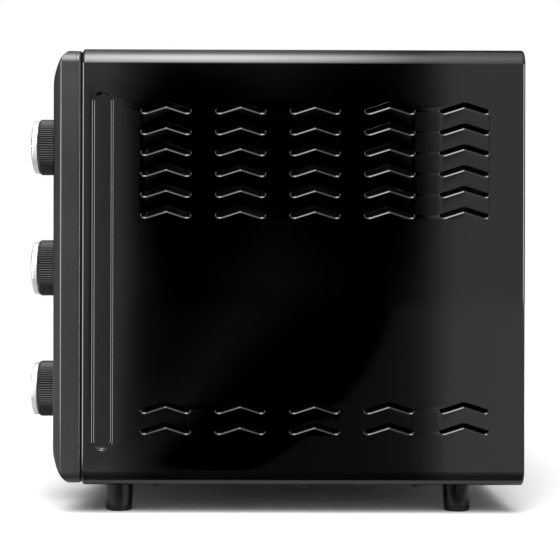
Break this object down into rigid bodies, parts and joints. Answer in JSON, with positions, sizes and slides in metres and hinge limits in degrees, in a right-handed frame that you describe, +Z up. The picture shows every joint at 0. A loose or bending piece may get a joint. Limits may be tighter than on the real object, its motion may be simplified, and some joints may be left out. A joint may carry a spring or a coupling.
{
  "type": "toaster oven",
  "caption": "Countertop toaster oven: drop-down glass door, rotary controls at the right, wire rack, crumb tray, vented steel casing, tapered feet.",
  "frame": {"origin": "centre of the bounding box's footprint, on the floor plane under the feet", "axes": "+X to the right seen from the front (controls side), +Y to the rear, +Z up; the door faces -Y"},
  "size_m": [0.43, 0.3567, 0.3142],
  "materials": {
    "black_enamel": "gloss",
    "bezel_plastic": "satin",
    "panel_black": "gloss",
    "galvanised_steel": "satin",
    "chamber_steel": "satin",
    "element_sheath": "matte",
    "ceramic_white": "matte",
    "zinc_steel": "satin",
    "switch_body": "matte",
    "copper_line": "satin",
    "lead_insulation": "matte",
    "lens_red": "gloss",
    "foot_rubber": "matte",
    "tinted_glass": "gloss",
    "handle_black": "satin",
    "silver_trim": "satin",
    "rack_wire": "gloss"
  },
  "bodies": {
    "oven_body": {"casing": "black_enamel", "base_plate": "galvanised_steel", "rear_panel": "black_enamel", "front_plate": "galvanised_steel", "front_bezel": "bezel_plastic", "control_panel": "panel_black", "oven_chamber": "chamber_steel", "chamber_brackets": "galvanised_steel", "heat_shield": "black_enamel", "rack_rail_left": "galvanised_steel", "rack_rail_right": "galvanised_steel", "heater_upper_front": "element_sheath", "heater_upper_rear": "element_sheath", "heater_lower_front": "element_sheath", "heater_lower_rear": "element_sheath", "heater_insulators": "ceramic_white", "heater_links": "zinc_steel", "thermostat": "switch_body", "thermostat_bulb": "copper_line", "function_switch": "switch_body", "timer": "switch_body", "timer_bell": "zinc_steel", "control_nuts": "zinc_steel", "indicator_lamp": "switch_body", "indicator_lens": "lens_red", "foot_front_left": "foot_rubber", "foot_front_right": "foot_rubber", "foot_rear_left": "foot_rubber", "foot_rear_right": "foot_rubber", "foot_screws": "zinc_steel", "cord_gland": "foot_rubber", "terminal_block": "ceramic_white", "wiring": "lead_insulation", "bezel_screws": "zinc_steel", "chamber_screws": "zinc_steel", "rear_screws": "zinc_steel", "base_screws": "zinc_steel", "hinge_bracket_left": "galvanised_steel", "hinge_bracket_right": "galvanised_steel", "door_spring_left": "zinc_steel", "door_spring_right": "zinc_steel"},
    "door": {"door_frame": "panel_black", "door_glass": "tinted_glass", "glass_retainer": "galvanised_steel", "door_handle": "handle_black", "handle_trim": "silver_trim", "handle_posts": "handle_black", "handle_screws": "zinc_steel", "hinge_pins": "zinc_steel"},
    "rack": {"wire_rack": "rack_wire"},
    "tray": {"crumb_tray": "galvanised_steel"},
    "temperature_control": {"temperature_knob": "handle_black", "temperature_knob_cap": "silver_trim", "temperature_shaft": "zinc_steel"},
    "function_control": {"function_knob": "handle_black", "function_knob_cap": "silver_trim", "function_shaft": "zinc_steel"},
    "timer_control": {"timer_knob": "handle_black", "timer_knob_cap": "silver_trim", "timer_shaft": "zinc_steel"}
  },
  "joints": [
    {"name": "door_hinge", "type": "hinge", "parent": "oven_body", "child": "door", "pos_m": [-0.0515, -0.13485, 0.0603], "axis": [1, 0, 0], "range_deg": [0, 90], "stiffness_Nm_per_rad": 0.4, "springref_deg": -22.92},
    {"name": "rack_slide", "type": "slide", "parent": "oven_body", "child": "rack", "axis": [0, -1, 0], "range_m": [0, 0.11]},
    {"name": "crumb_tray_slide", "type": "slide", "parent": "oven_body", "child": "tray", "axis": [0, -1, 0], "range_m": [0, 0.17]},
    {"name": "temperature_knob_turn", "type": "hinge", "parent": "oven_body", "child": "temperature_control", "pos_m": [0.1566, -0.14535, 0.2518], "axis": [0, 1, 0], "range_deg": [0, 280]},
    {"name": "function_knob_turn", "type": "hinge", "parent": "oven_body", "child": "function_control", "pos_m": [0.1566, -0.14535, 0.1666], "axis": [0, 1, 0], "range_deg": [0, 180]},
    {"name": "timer_knob_turn", "type": "hinge", "parent": "oven_body", "child": "timer_control", "pos_m": [0.1566, -0.14535, 0.0814], "axis": [0, 1, 0], "range_deg": [0, 300]}
  ],
  "couplings": [
    {"joint": "rack_slide", "follows": "door_hinge", "m_per_rad": 0.07}
  ]
}
